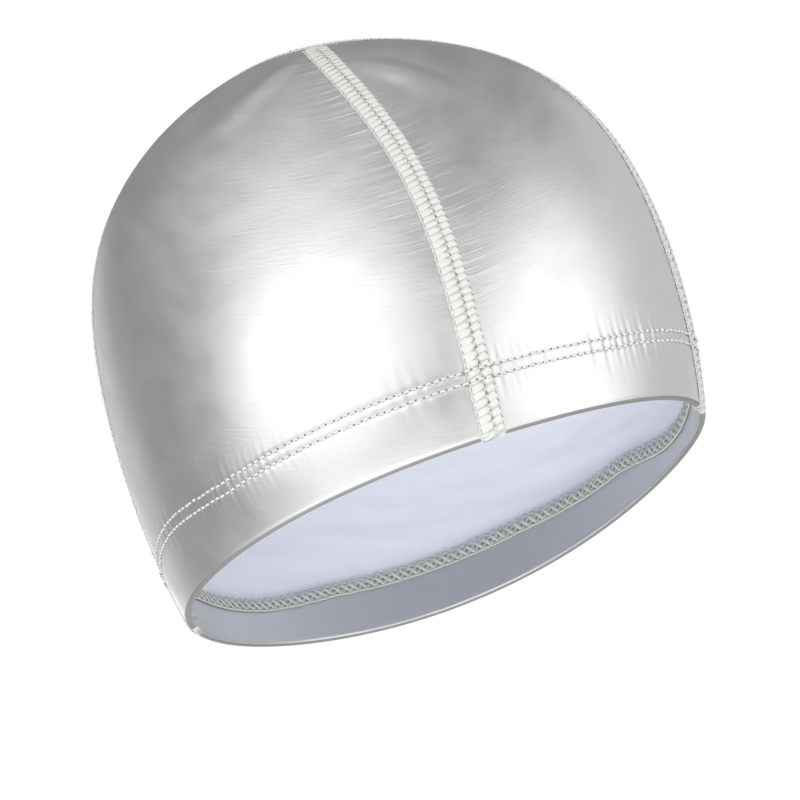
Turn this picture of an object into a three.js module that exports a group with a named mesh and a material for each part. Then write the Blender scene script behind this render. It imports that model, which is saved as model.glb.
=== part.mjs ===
// Swim cap: coated stretch knit, cut as three panels, joined by flat seams and hemmed all round.
// Its shape is that of a worn cap, with the wearer's front along +X and the seen side along -Y.
// The origin is the middle of the rim opening, and the crown is up.

import * as THREE from "three";

// Driving dimensions in millimetres
const HALF_LENGTH = 89; // middle of the rim to its front or its back
const HALF_WIDTH = 74.3; // middle of the rim to either side of it
const CROWN_HEIGHT = 171.6; // rim plane to the top of the crown
const SIDE_DIP = 3.7; // how far the sides of the rim hang below its ends
const FABRIC = 1.0; // thickness of the coated knit
const HEM_DEPTH = 17.2; // rim to the raw edge of the turned-in hem, before its changes below
const SEAM_WIDTH = 8.2; // width of a flat seam's band of thread
const SEAM_THREAD = 0.5; // thickness of a seam's band of thread
const COVER_WIDTH = 4.6; // width of the thread over the hem's raw edge
const COVER_THREAD = 0.6; // thickness of the thread over the hem's raw edge
const HEM_GAP = 0.3; // clearance between the wall and the hem leaf
const PIECE_GAP = 0.3; // clearance between neighbouring pieces

// Shape of the dome, as shares of the half length and the half width at each latitude
const DOME = [
  { latitude: 0, halfLength: 1, halfWidth: 1, forward: 0 },
  { latitude: 22.5, halfLength: 1.167, halfWidth: 1.1, forward: 0.043 },
  { latitude: 45, halfLength: 1.353, halfWidth: 1.094, forward: 0.017 },
  { latitude: 67.5, halfLength: 1.418, halfWidth: 1.22, forward: -0.029 },
  { latitude: 90, halfLength: 0.94, halfWidth: 1.1, forward: 0.083 },
];
const FRONT_NARROWING = 0.12; // share of the width that the front loses and the back gains
const SQUARENESS = 0.012; // share by which the plan is fuller at its ends than at its corners

// The seams meet off the top of the crown and run to these angles on the rim.
// An angle is in degrees from the front, towards the far side. A bow bends a seam sideways, and
// a sway bends its upper and its lower half opposite ways.
const CROSSING = { latitude: 71.5, longitude: -55.5 };
const SEAMS = {
  front: { rimAngle: 1.2, bow: 6.5, sway: 4.5 },
  back: { rimAngle: 186, bow: -7, sway: -3 },
  side: { rimAngle: -65.9, bow: -2.6, sway: -1.4 },
};
const LEVEL_BELOW = 1.5; // a seam's ends run level under this many hem depths
const SLANT_ABOVE = 4; // and they lie square to the seam over this many
const HOLE_SHARE = 0.36; // hole where the panels meet, as a share of the seam's width
const COVER_SHARE = 0.6; // share of the cover stitch that lies on the hem leaf

// Tension folds near the crossing, each between two shares of its meridian. It lies at its rim
// angle halfway down and leans by a turn from one end to the other. Heights are shares of the
// crown height.
const FOLDS = [
  { rimAngle: -99, lean: -34, halfAngle: 12, height: 0.0055, from: 0.08, to: 0.38 },
  { rimAngle: -124, lean: -30, halfAngle: 13, height: -0.003, from: 0.1, to: 0.42 },
  { rimAngle: -51, lean: 12, halfAngle: 8, height: 0.0075, from: 0.18, to: 0.44 },
];

// Where the stretched hem is deeper or shallower. Changes are shares of the hem's depth.
const HEM_CHANGES = [
  { rimAngle: -150, halfAngle: 30, change: 0.17 },
  { rimAngle: 0, halfAngle: 40, change: 0.13 },
  { rimAngle: 33, halfAngle: 28, change: -0.52 },
  { rimAngle: 62, halfAngle: 30, change: -0.14 },
  { rimAngle: 155, halfAngle: 25, change: -0.16 },
];

// Fineness of the faceted surfaces
const WALL_ROWS = 16; // rows from the crossing to the height of the hem's raw edge
const WALL_EASE = 1.35; // above 1, the rows lie closer together near the crossing
const HEM_ROWS = 3; // rows from there to the rim, on the wall and on the leaf
const FOLD_ROWS = 4; // rows round the fold at the rim
const DEGREES_PER_COLUMN = 4.6; // width of a panel's facets along the rim
const SEAM_COLUMNS = 2; // facets across a seam's band

// The hem turns about an axis inside the rim, so the cloth's middle runs round it on this radius
const FOLD_RADIUS = (FABRIC + HEM_GAP) / 2;
const FOLD_AXIS_DEPTH = FABRIC + HEM_GAP / 2;
const FACE = FABRIC / 2; // height of the coated face above the cloth's middle
const STEP = 1e-3; // small step for slopes, on the unit sphere
const LOWER_PART = 0.3; // share of a meridian above which no height is looked for
const HALVINGS = 30; // steps of that search

const { degToRad, lerp, smoothstep } = THREE.MathUtils;

function unitDirection(latitude, longitude) {
  const level = Math.cos(latitude);
  return new THREE.Vector3(level * Math.cos(longitude), level * Math.sin(longitude), Math.sin(latitude));
}

const CROSSING_DIRECTION = unitDirection(degToRad(CROSSING.latitude), degToRad(CROSSING.longitude));

// The one smooth curve through all rows of the dome table
function domeShare(column, latitude) {
  const degrees = latitude / degToRad(1);
  return DOME.reduce((sum, row) => {
    const others = DOME.filter((other) => other !== row);
    const weight = others.reduce(
      (product, other) => product * (degrees - other.latitude) / (row.latitude - other.latitude), 1);
    return sum + weight * row[column];
  }, 0);
}

// Point of the cap's outer surface in a direction from the middle of the rim
function surfacePoint(direction) {
  const unit = direction.clone().normalize();
  const latitude = Math.asin(THREE.MathUtils.clamp(unit.z, -1, 1));
  const longitude = Math.atan2(unit.y, unit.x);
  const level = Math.cos(latitude);
  const fullness = 1 + SQUARENESS * Math.cos(4 * longitude) * level;
  const narrowing = 1 - FRONT_NARROWING * Math.cos(longitude) * level;
  const nearRim = (1 - unit.z) ** 2;
  return new THREE.Vector3(
    HALF_LENGTH * (domeShare("halfLength", latitude) * unit.x * fullness + domeShare("forward", latitude)),
    HALF_WIDTH * domeShare("halfWidth", latitude) * unit.y * fullness * narrowing,
    CROWN_HEIGHT * unit.z - SIDE_DIP * nearRim * Math.sin(longitude) ** 2,
  );
}

// Slope of the outer surface along a step of the direction
function surfaceSlope(direction, along) {
  const ahead = surfacePoint(direction.clone().addScaledVector(along, STEP));
  const behind = surfacePoint(direction.clone().addScaledVector(along, -STEP));
  return ahead.sub(behind).divideScalar(2 * STEP);
}

// A meridian runs from the crossing, at share 0, to a rim angle, at share 1
function meridian({ rimAngle, bow, sway }) {
  const rim = unitDirection(0, degToRad(rimAngle));
  const arc = CROSSING_DIRECTION.angleTo(rim);
  const across = CROSSING_DIRECTION.clone().cross(rim).normalize();
  const directionAt = (share) => {
    const bend = bow * Math.sin(Math.PI * share) + sway * Math.sin(2 * Math.PI * share);
    return new THREE.Vector3()
      .addScaledVector(CROSSING_DIRECTION, Math.sin((1 - share) * arc) / Math.sin(arc))
      .addScaledVector(rim, Math.sin(share * arc) / Math.sin(arc))
      .addScaledVector(across, degToRad(bend))
      .normalize();
  };
  return { rimAngle, across, directionAt };
}

// Share of a meridian at a height above the rim, found by halving its lower part
function shareAtHeight(line, height) {
  let upper = LOWER_PART;
  let lower = 1;
  for (let halving = 0; halving < HALVINGS; halving += 1) {
    const middle = (upper + lower) / 2;
    if (CROWN_HEIGHT * line.directionAt(middle).z > height) {
      upper = middle;
    } else {
      lower = middle;
    }
  }
  return lower;
}

// Share of a meridian at a distance from the crossing
function shareFromCrossing(line, distance) {
  const start = surfacePoint(line.directionAt(0));
  return STEP * distance / start.distanceTo(surfacePoint(line.directionAt(STEP)));
}

// Smooth hump of a table row round its rim angle, from 1 at its middle to 0 at its half angle
function humpAt(rimAngle, row) {
  const turn = THREE.MathUtils.euclideanModulo(rimAngle - row.rimAngle + 180, 360) - 180;
  return Math.max(0, 1 - (turn / row.halfAngle) ** 2) ** 2;
}

// Height of the tension folds at a place on the wall
function foldHeight(rimAngle, share) {
  return FOLDS.reduce((sum, fold) => {
    const middle = (fold.from + fold.to) / 2;
    const length = smoothstep(share, fold.from, middle) - smoothstep(share, middle, fold.to);
    const lean = fold.lean * (share - middle) / (fold.to - fold.from);
    return sum + fold.height * CROWN_HEIGHT * humpAt(rimAngle - lean, fold) * length;
  }, 0);
}

// Height of the hem's raw edge above the rim
function hemDepth(line) {
  return HEM_DEPTH * HEM_CHANGES.reduce((sum, row) => sum + row.change * humpAt(line.rimAngle, row), 1);
}

// Direction across a meridian. It turns level on the way down, so that the hem folds straight up.
function acrossAt(line, direction) {
  const depths = CROWN_HEIGHT * direction.z / HEM_DEPTH;
  const level = 1 - smoothstep(depths, LEVEL_BELOW, SLANT_ABOVE);
  const alongRim = new THREE.Vector3(-direction.y, direction.x, 0).normalize();
  return line.across.clone().lerp(alongRim, level).normalize();
}

// Point on the cloth. The station is a share of the meridian and a turn round the hem's fold,
// the side is a distance across the meridian, and the lift is a height above the cloth's middle.
function clothPoint(line, station, side, lift) {
  const middle = line.directionAt(station.share);
  const across = acrossAt(line, middle);
  const width = surfaceSlope(middle, across).length();
  const direction = middle.addScaledVector(across, side / width).normalize();
  const down = across.cross(direction).normalize();
  const downSlope = surfaceSlope(direction, down).normalize();
  const acrossSlope = surfaceSlope(direction, direction.clone().cross(down));
  const outward = downSlope.clone().cross(acrossSlope).normalize();
  const radius = FOLD_RADIUS + lift;
  const proud = radius * Math.cos(station.turn) - FOLD_AXIS_DEPTH + foldHeight(line.rimAngle, station.share);
  return surfacePoint(direction)
    .addScaledVector(outward, proud)
    .addScaledVector(downSlope, radius * Math.sin(station.turn));
}

// Stations along a meridian, from a distance off the crossing to a height on the hem leaf
function wallStations(line, startDistance, endHeight) {
  const start = shareFromCrossing(line, startDistance);
  const end = shareAtHeight(line, endHeight);
  return Array.from({ length: WALL_ROWS + 1 }, (_, row) => ({
    share: lerp(start, end, (row / WALL_ROWS) ** WALL_EASE),
    turn: 0,
  }));
}

function hemStations(line, leafHeight) {
  const stations = [];
  for (let row = 1; row <= HEM_ROWS; row += 1) {
    const height = hemDepth(line) * (1 - row / HEM_ROWS);
    stations.push({ share: shareAtHeight(line, height), turn: 0 });
  }
  for (let row = 1; row <= FOLD_ROWS; row += 1) {
    stations.push({ share: 1, turn: Math.PI * row / FOLD_ROWS });
  }
  for (let row = 1; row <= HEM_ROWS; row += 1) {
    const height = leafHeight * row / HEM_ROWS;
    stations.push({ share: shareAtHeight(line, height), turn: Math.PI });
  }
  return stations;
}

// A closed sheet from a grid of points on two faces. Rows run down the cap and columns towards
// the far side, so that the first face looks outwards. A ring's last column meets its first.
function sheetGeometry(rowCount, columnCount, isRing, pointAt) {
  const columns = isRing ? columnCount : columnCount + 1;
  const positions = [];
  for (const face of [0, 1]) {
    for (let row = 0; row <= rowCount; row += 1) {
      for (let column = 0; column < columns; column += 1) {
        positions.push(...pointAt(face, row, column).toArray());
      }
    }
  }
  const vertex = (face, row, column) => (face * (rowCount + 1) + row) * columns + column % columns;
  const triangles = [];
  for (let row = 0; row < rowCount; row += 1) {
    for (let column = 0; column < columnCount; column += 1) {
      const corners = [[row, column], [row + 1, column], [row + 1, column + 1], [row, column + 1]];
      const [a, b, c, d] = corners.map(([r, q]) => vertex(0, r, q));
      const [e, f, g, h] = corners.map(([r, q]) => vertex(1, r, q));
      triangles.push(a, b, c, a, c, d, e, g, f, e, h, g);
    }
  }
  const wallAlong = (start, end) => {
    const [a, b] = [start, end].map(([r, q]) => vertex(0, r, q));
    const [c, d] = [start, end].map(([r, q]) => vertex(1, r, q));
    triangles.push(b, a, c, b, c, d);
  };
  for (let column = 0; column < columnCount; column += 1) {
    wallAlong([0, column + 1], [0, column]);
    wallAlong([rowCount, column], [rowCount, column + 1]);
  }
  for (let row = 0; row < rowCount && !isRing; row += 1) {
    wallAlong([row, 0], [row + 1, 0]);
    wallAlong([row + 1, columnCount], [row, columnCount]);
  }
  const geometry = new THREE.BufferGeometry();
  geometry.setAttribute("position", new THREE.Float32BufferAttribute(positions, 3));
  geometry.setIndex(triangles);
  geometry.computeVertexNormals();
  return geometry;
}

// A sheet along lines that each have their own stations and side, between two lifts
function strip(lines, lifts) {
  const rows = lines[0].stations.length - 1;
  return sheetGeometry(rows, lines.length - 1, false, (face, row, column) => {
    const { line, stations, side } = lines[column];
    const across = stations[row].isReversed ? -side : side;
    return clothPoint(stations[row].line ?? line, stations[row], across, lifts[face]);
  });
}

// The panels leave a small hole at the crossing, which the crown seam covers
const CROSSING_HOLE = SEAM_WIDTH * HOLE_SHARE;

// A panel between two seams, from the crossing to the raw edge of its hem leaf
function panelGeometry(from, to) {
  const span = to.rimAngle - from.rimAngle;
  const columnCount = Math.round(span / DEGREES_PER_COLUMN);
  const lines = Array.from({ length: columnCount + 1 }, (_, column) => {
    const share = column / columnCount;
    const line = meridian({
      rimAngle: from.rimAngle + share * span,
      bow: lerp(from.bow, to.bow, share),
      sway: lerp(from.sway, to.sway, share),
    });
    const depth = hemDepth(line);
    const stations = [...wallStations(line, CROSSING_HOLE, depth), ...hemStations(line, depth)];
    return { line, stations, side: PIECE_GAP * (0.5 - share) };
  });
  return strip(lines, [FACE, -FACE]);
}

// Lifts of a thread band that lies on the coated face, or on the knit face
const OUTER_BAND = [FACE + PIECE_GAP + SEAM_THREAD, FACE + PIECE_GAP];
const INNER_BAND = [-FACE - PIECE_GAP, -FACE - PIECE_GAP - SEAM_THREAD];
const COVER_BAND = [FACE + PIECE_GAP + COVER_THREAD, FACE + PIECE_GAP];
const COVER_BELOW_EDGE = COVER_WIDTH * COVER_SHARE;

const bandSides = Array.from({ length: SEAM_COLUMNS + 1 }, (_, column) =>
  SEAM_WIDTH * (column / SEAM_COLUMNS - 0.5));

// Stations of one seam from a distance off the crossing, down the wall and round the hem
function outerStations(line, startDistance) {
  const depth = hemDepth(line);
  const leafHeight = depth - COVER_BELOW_EDGE - PIECE_GAP;
  return [...wallStations(line, startDistance, depth), ...hemStations(line, leafHeight)];
}

// Stations of one seam inside, which end above the raw edge of the hem leaf
function innerStations(line, startDistance) {
  return wallStations(line, startDistance, hemDepth(line) + PIECE_GAP);
}

// The crown seam runs up from the back, through the crossing and down to the front
function crownSeamGeometry(stationsOf, lifts) {
  const back = meridian(SEAMS.back);
  const front = meridian(SEAMS.front);
  const rising = stationsOf(back, CROSSING_HOLE).reverse()
    .map((station) => ({ ...station, line: back, isReversed: true }));
  const falling = stationsOf(front, CROSSING_HOLE).map((station) => ({ ...station, line: front }));
  const stations = [...rising, { share: 0, turn: 0, line: front }, ...falling];
  return strip(bandSides.map((side) => ({ stations, side })), lifts);
}

// The side seam starts clear of the crown seam's edge, which it meets at a slant
function sideSeamGeometry(stationsOf, lifts) {
  const side = meridian(SEAMS.side);
  const heading = (line) => surfacePoint(line.directionAt(STEP)).sub(surfacePoint(line.directionAt(0)));
  const starts = [SEAMS.front, SEAMS.back].map((seam) => {
    const slant = heading(side).angleTo(heading(meridian(seam)));
    const halfWidth = SEAM_WIDTH / 2;
    return (halfWidth * (1 + Math.abs(Math.cos(slant))) + PIECE_GAP) / Math.sin(slant);
  });
  const stations = stationsOf(side, Math.max(...starts));
  return strip(bandSides.map((across) => ({ line: side, stations, side: across })), lifts);
}

// The cover stitch is a ring over the raw edge of the hem leaf
function coverStitchGeometry() {
  const columnCount = Math.round(360 / DEGREES_PER_COLUMN);
  const offsets = [-COVER_BELOW_EDGE, 0, COVER_WIDTH - COVER_BELOW_EDGE];
  return sheetGeometry(offsets.length - 1, columnCount, true, (face, row, column) => {
    const line = meridian({ rimAngle: 360 * column / columnCount, bow: 0, sway: 0 });
    const station = { share: shareAtHeight(line, hemDepth(line) + offsets[row]), turn: Math.PI };
    return clothPoint(line, station, 0, COVER_BAND[face]);
  });
}

const COATED_KNIT = { color: 0xc4c5c8, roughness: 0.34, metalness: 0.75 };
const SEAM_YARN = { color: 0xd3d7d0, roughness: 0.8, metalness: 0 };

function piece(name, geometry, finish) {
  const mesh = new THREE.Mesh(geometry, new THREE.MeshStandardMaterial(finish));
  mesh.name = name;
  return mesh;
}

const backOfNearSide = { ...SEAMS.back, rimAngle: SEAMS.back.rimAngle - 360 };

const cap = new THREE.Group();
cap.add(
  piece("left_panel", panelGeometry(SEAMS.front, SEAMS.back), COATED_KNIT),
  piece("right_front_panel", panelGeometry(SEAMS.side, SEAMS.front), COATED_KNIT),
  piece("right_back_panel", panelGeometry(backOfNearSide, SEAMS.side), COATED_KNIT),
  piece("crown_seam", crownSeamGeometry(outerStations, OUTER_BAND), SEAM_YARN),
  piece("side_seam", sideSeamGeometry(outerStations, OUTER_BAND), SEAM_YARN),
  piece("crown_seam_inside", crownSeamGeometry(innerStations, INNER_BAND), SEAM_YARN),
  piece("side_seam_inside", sideSeamGeometry(innerStations, INNER_BAND), SEAM_YARN),
  piece("hem_cover_stitch", coverStitchGeometry(), SEAM_YARN),
);

export default cap;
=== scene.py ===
"""Looks of a swim cap of silver coated stretch knit, with flat seams and a turned-in hem."""

import logging
import math
from dataclasses import dataclass
from enum import Enum
from typing import Any

import bpy
import numpy as np
from mathutils import Matrix, Vector


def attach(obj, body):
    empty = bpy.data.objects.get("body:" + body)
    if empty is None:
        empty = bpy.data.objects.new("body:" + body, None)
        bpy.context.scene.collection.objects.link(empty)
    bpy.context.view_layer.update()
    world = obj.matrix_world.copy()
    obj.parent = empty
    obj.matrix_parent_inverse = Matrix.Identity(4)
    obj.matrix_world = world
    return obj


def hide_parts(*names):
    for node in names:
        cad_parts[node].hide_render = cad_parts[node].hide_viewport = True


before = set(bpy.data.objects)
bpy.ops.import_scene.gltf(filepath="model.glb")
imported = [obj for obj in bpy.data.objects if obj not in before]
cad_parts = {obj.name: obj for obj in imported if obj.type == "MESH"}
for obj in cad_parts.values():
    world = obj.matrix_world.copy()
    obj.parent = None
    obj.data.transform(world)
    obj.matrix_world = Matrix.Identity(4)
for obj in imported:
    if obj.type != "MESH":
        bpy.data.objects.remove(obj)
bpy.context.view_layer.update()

LOG = logging.getLogger("swim_cap")
BODY = "root"
IMAGE_SIDE = 800  # pixels of the picture's side
SENSOR_WIDTH = 36.0  # millimetres
MILLIMETRE = 0.001
LIFT_STEP = 1e-4  # small step away from the cloth, for its direction
YARN_SHARP_ANGLE = 80.0  # degrees
LEG_PLACES = (400, 24, 40)  # places measured on a seam's wall, fold and hem leaf
NO_VERTICES = np.empty((0, 3))
Array = np.ndarray


def unit(vectors: Array) -> Array:
    """Return the vectors at length 1."""
    return vectors / np.linalg.norm(vectors, axis=-1, keepdims=True)


def direction_of(latitude: Array, longitude: Array) -> Array:
    """Return directions from the middle of the rim.

    Args:
        latitude: Latitudes, in radians.
        longitude: Longitudes, in radians.

    Returns:
        One unit vector for each pair.
    """
    latitude, longitude = np.broadcast_arrays(latitude, longitude)
    level = np.cos(latitude)
    along, across = level * np.cos(longitude), level * np.sin(longitude)
    return np.stack([along, across, np.sin(latitude)], axis=-1)


def smoothstep(values: Array, start: float, end: float) -> Array:
    """Return 0 below start, 1 above end and a smooth rise between them."""
    share = np.clip((values - start) / (end - start), 0.0, 1.0)
    return share * share * (3.0 - 2.0 * share)


def ripple(distance: Array, wavelength: float, seed: int, waves: int = 5,
           spread: tuple[float, float] = (0.65, 1.6)) -> Array:
    """Return an uneven wave along a distance, between about -1 and 1.

    Args:
        distance: Distances along a line, in metres.
        wavelength: Middle wavelength, in metres.
        seed: Seed of the waves' lengths and phases.
        waves: Number of waves that are added up.
        spread: Shortest and longest wave, as shares of the middle one.

    Returns:
        The wave's height at each distance.
    """
    random = np.random.default_rng(seed)
    total = np.zeros_like(distance)
    for _ in range(waves):
        length = wavelength * random.uniform(*spread)
        total = total + np.sin(2.0 * math.pi * (distance / length + random.random()))
    return total / math.sqrt(2.0 * waves)


def turn_from(rim_angle: Array, middle: float) -> Array:
    """Return the turn from one rim angle to others, between -180 and 180 degrees."""
    return np.mod(rim_angle - middle + 180.0, 360.0) - 180.0


def distances(points: Array, axis: int) -> Array:
    """Measure along a grid's rows or columns.

    Args:
        points: The grid's points.
        axis: The axis to follow.

    Returns:
        Each point's distance from the first one on its line.
    """
    steps = np.linalg.norm(np.diff(points, axis=axis), axis=-1)
    zero = np.zeros_like(np.take(steps, [0], axis=axis))
    return np.concatenate([zero, np.cumsum(steps, axis=axis)], axis=axis)


def to_linear(colour: int) -> tuple[float, float, float, float]:
    """Turn an sRGB hex colour to linear light.

    Args:
        colour: The colour, as 0xRRGGBB.

    Returns:
        Linear red, green and blue, and an alpha of 1.
    """
    channels = [(colour >> shift & 255) / 255.0 for shift in (16, 8, 0)]
    linear = [c / 12.92 if c <= 0.04045 else ((c + 0.055) / 1.055) ** 2.4 for c in channels]
    return (*linear, 1.0)


# Form of the cap, by the same rules as its construction

@dataclass(frozen=True)
class DomeRow:
    """Shape of the dome at one latitude, as shares of its half length and half width."""

    latitude: float
    half_length: float
    half_width: float
    forward: float


@dataclass(frozen=True)
class SeamLine:
    """Where a seam meets the rim, in degrees from the front, and how it bends on its way there."""

    rim_angle: float
    bow: float
    sway: float


@dataclass(frozen=True)
class TensionFold:
    """Fold near the crossing that leans by a turn. Its height is a share of the crown height."""

    rim_angle: float
    lean: float
    half_angle: float
    height: float
    start: float
    end: float


@dataclass(frozen=True)
class HemChange:
    """Where the stretched hem is deeper or shallower, as a share of its depth."""

    rim_angle: float
    half_angle: float
    change: float


@dataclass(frozen=True)
class CapForm:
    """Form of the worn cap in metres, with the front along +X and the crown up.

    A meridian runs from the seams' crossing, at share 0, to an angle on the rim, at share 1.
    """

    half_length: float = 0.089
    half_width: float = 0.0743
    crown_height: float = 0.1716
    side_dip: float = 0.0037
    fabric: float = 0.001
    hem_depth: float = 0.0172
    hem_gap: float = 0.0003
    seam_width: float = 0.0082
    front_narrowing: float = 0.12
    squareness: float = 0.012
    crossing_latitude: float = 71.5
    crossing_longitude: float = -55.5
    level_below: float = 1.5  # seams' ends run level under this many hem depths
    slant_above: float = 4.0  # and lie square to the seam over this many
    hole_share: float = 0.36  # hole at the crossing, as a share of the seam's width
    step: float = 1e-3  # small step for slopes, on the unit sphere
    halvings: int = 26  # steps of the search for a height
    highest_share: float = 0.05  # where that search starts, just below the crossing
    front: SeamLine = SeamLine(1.2, 6.5, 4.5)
    back: SeamLine = SeamLine(186.0, -7.0, -3.0)
    side: SeamLine = SeamLine(-65.9, -2.6, -1.4)
    dome: tuple[DomeRow, ...] = (
        DomeRow(0.0, 1.0, 1.0, 0.0),
        DomeRow(22.5, 1.167, 1.1, 0.043),
        DomeRow(45.0, 1.353, 1.094, 0.017),
        DomeRow(67.5, 1.418, 1.22, -0.029),
        DomeRow(90.0, 0.94, 1.1, 0.083),
    )
    folds: tuple[TensionFold, ...] = (
        TensionFold(-99.0, -34.0, 12.0, 0.0055, 0.08, 0.38),
        TensionFold(-124.0, -30.0, 13.0, -0.003, 0.1, 0.42),
        TensionFold(-51.0, 12.0, 8.0, 0.0075, 0.18, 0.44),
    )
    hem_changes: tuple[HemChange, ...] = (
        HemChange(-150.0, 30.0, 0.17),
        HemChange(0.0, 40.0, 0.13),
        HemChange(33.0, 28.0, -0.52),
        HemChange(62.0, 30.0, -0.14),
        HemChange(155.0, 25.0, -0.16),
    )

    @property
    def face(self) -> float:
        """Height of the coated face above the cloth's middle."""
        return self.fabric / 2.0

    @property
    def crossing(self) -> Array:
        """Direction of the crossing from the middle of the rim."""
        angles = np.radians([self.crossing_latitude, self.crossing_longitude])
        return direction_of(*angles)

    def dome_shares(self, latitude: Array) -> list[Array]:
        """Return half length, half width and forward shares on one smooth curve through the table.

        Args:
            latitude: Latitudes in degrees.

        Returns:
            The three shares at each latitude.
        """
        totals = [np.zeros_like(latitude) for _ in range(3)]
        for row in self.dome:
            weight = np.ones_like(latitude)
            for other in self.dome:
                if other is not row:
                    weight = weight * (latitude - other.latitude) / (row.latitude - other.latitude)
            for total, value in zip(totals, (row.half_length, row.half_width, row.forward)):
                total += weight * value
        return totals

    def surface(self, direction: Array) -> Array:
        """Find points of the dome's outer surface, without its folds.

        Args:
            direction: Directions from the middle of the rim.

        Returns:
            One point for each direction.
        """
        direction = unit(direction)
        latitude = np.arcsin(np.clip(direction[..., 2], -1.0, 1.0))
        longitude = np.arctan2(direction[..., 1], direction[..., 0])
        half_length, half_width, forward = self.dome_shares(np.degrees(latitude))
        level = np.cos(latitude)
        fullness = 1.0 + self.squareness * np.cos(4.0 * longitude) * level
        narrowing = 1.0 - self.front_narrowing * np.cos(longitude) * level
        near_rim = (1.0 - direction[..., 2]) ** 2
        dip = self.side_dip * near_rim * np.sin(longitude) ** 2
        return np.stack([
            self.half_length * (half_length * direction[..., 0] * fullness + forward),
            self.half_width * half_width * direction[..., 1] * fullness * narrowing,
            self.crown_height * direction[..., 2] - dip,
        ], axis=-1)

    def slope(self, direction: Array, along: Array) -> Array:
        """Measure how the outer surface runs.

        Args:
            direction: Unit directions from the middle of the rim.
            along: Steps of the direction, on the unit sphere.

        Returns:
            The surface's change for a step of one.
        """
        ahead = self.surface(direction + along * self.step)
        behind = self.surface(direction - along * self.step)
        return (ahead - behind) / (2.0 * self.step)

    def bends(self, rim_angle: Array) -> tuple[Array, Array]:
        """Return how the meridians bend, which changes evenly from seam to seam.

        Args:
            rim_angle: Angles on the rim, in degrees from the front.

        Returns:
            The bow and the sway of each meridian, in degrees.
        """
        behind = self.back.rim_angle - 360.0
        wrapped = np.mod(np.asarray(rim_angle, float) - behind, 360.0) + behind
        seams = (self.back, self.side, self.front, self.back)
        angles = [behind, self.side.rim_angle, self.front.rim_angle, self.back.rim_angle]
        bow = np.interp(wrapped, angles, [seam.bow for seam in seams])
        sway = np.interp(wrapped, angles, [seam.sway for seam in seams])
        return bow, sway

    def meridian(self, rim_angle: Array, share: Array) -> tuple[Array, Array]:
        """Follow the meridians down to their shares.

        Args:
            rim_angle: Angles on the rim, in degrees from the front.
            share: Shares of the way from the crossing to the rim.

        Returns:
            The directions there, and each meridian's own direction across.
        """
        places = (np.asarray(value, float) for value in (rim_angle, share))
        rim_angle, share = np.broadcast_arrays(*places)
        bow, sway = self.bends(rim_angle)
        rim = direction_of(np.zeros_like(rim_angle), np.radians(rim_angle))
        crossing = self.crossing
        arc = np.arccos(np.clip(rim @ crossing, -1.0, 1.0))
        across = unit(np.cross(np.broadcast_to(crossing, rim.shape), rim))
        bend = np.radians(bow * np.sin(math.pi * share) + sway * np.sin(2.0 * math.pi * share))
        start = (np.sin((1.0 - share) * arc) / np.sin(arc))[..., None] * crossing
        end = (np.sin(share * arc) / np.sin(arc))[..., None] * rim
        return unit(start + end + across * bend[..., None]), across

    def share_at_height(self, rim_angle: Array, height: Array) -> Array:
        """Find places on the meridians by their height, by halving.

        Args:
            rim_angle: Angles on the rim, in degrees from the front.
            height: Heights above the rim, in metres.

        Returns:
            The share of the way down each meridian.
        """
        places = (np.asarray(value, float) for value in (rim_angle, height))
        rim_angle, height = np.broadcast_arrays(*places)
        upper = np.full(rim_angle.shape, self.highest_share)
        lower = np.ones(rim_angle.shape)
        for _ in range(self.halvings):
            middle = (upper + lower) / 2.0
            direction, _across = self.meridian(rim_angle, middle)
            above = self.crown_height * direction[..., 2] > height
            upper = np.where(above, middle, upper)
            lower = np.where(above, lower, middle)
        return lower

    def share_from_crossing(self, rim_angle: Array, distance: float) -> Array:
        """Find places on the meridians near the crossing.

        Args:
            rim_angle: Angles on the rim, in degrees from the front.
            distance: Distance from the crossing, in metres.

        Returns:
            The share of the way down each meridian.
        """
        start = self.surface(self.meridian(rim_angle, 0.0)[0])
        ahead = self.surface(self.meridian(rim_angle, self.step)[0])
        return self.step * distance / np.linalg.norm(ahead - start, axis=-1)

    @staticmethod
    def hump(rim_angle: Array, row: TensionFold | HemChange) -> Array:
        """Return a table row's hump round its rim angle, from 1 at its middle to 0 at its ends."""
        turn = turn_from(rim_angle, row.rim_angle)
        return np.maximum(0.0, 1.0 - (turn / row.half_angle) ** 2) ** 2

    def fold_height(self, rim_angle: Array, share: Array) -> Array:
        """Return the height of the broad tension folds.

        Args:
            rim_angle: Angles on the rim, in degrees from the front.
            share: Shares of the way down each meridian.

        Returns:
            The folds' height above the dome at each place, in metres.
        """
        total = np.zeros(np.broadcast(rim_angle, share).shape)
        for fold in self.folds:
            middle = (fold.start + fold.end) / 2.0
            length = smoothstep(share, fold.start, middle) - smoothstep(share, middle, fold.end)
            lean = fold.lean * (share - middle) / (fold.end - fold.start)
            hump = self.hump(rim_angle - lean, fold)
            total = total + fold.height * self.crown_height * hump * length
        return total

    def hem_height(self, rim_angle: Array) -> Array:
        """Return the height of the hem's raw edge above the rim."""
        changes = sum(row.change * self.hump(rim_angle, row) for row in self.hem_changes)
        return self.hem_depth * (1.0 + changes)

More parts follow.
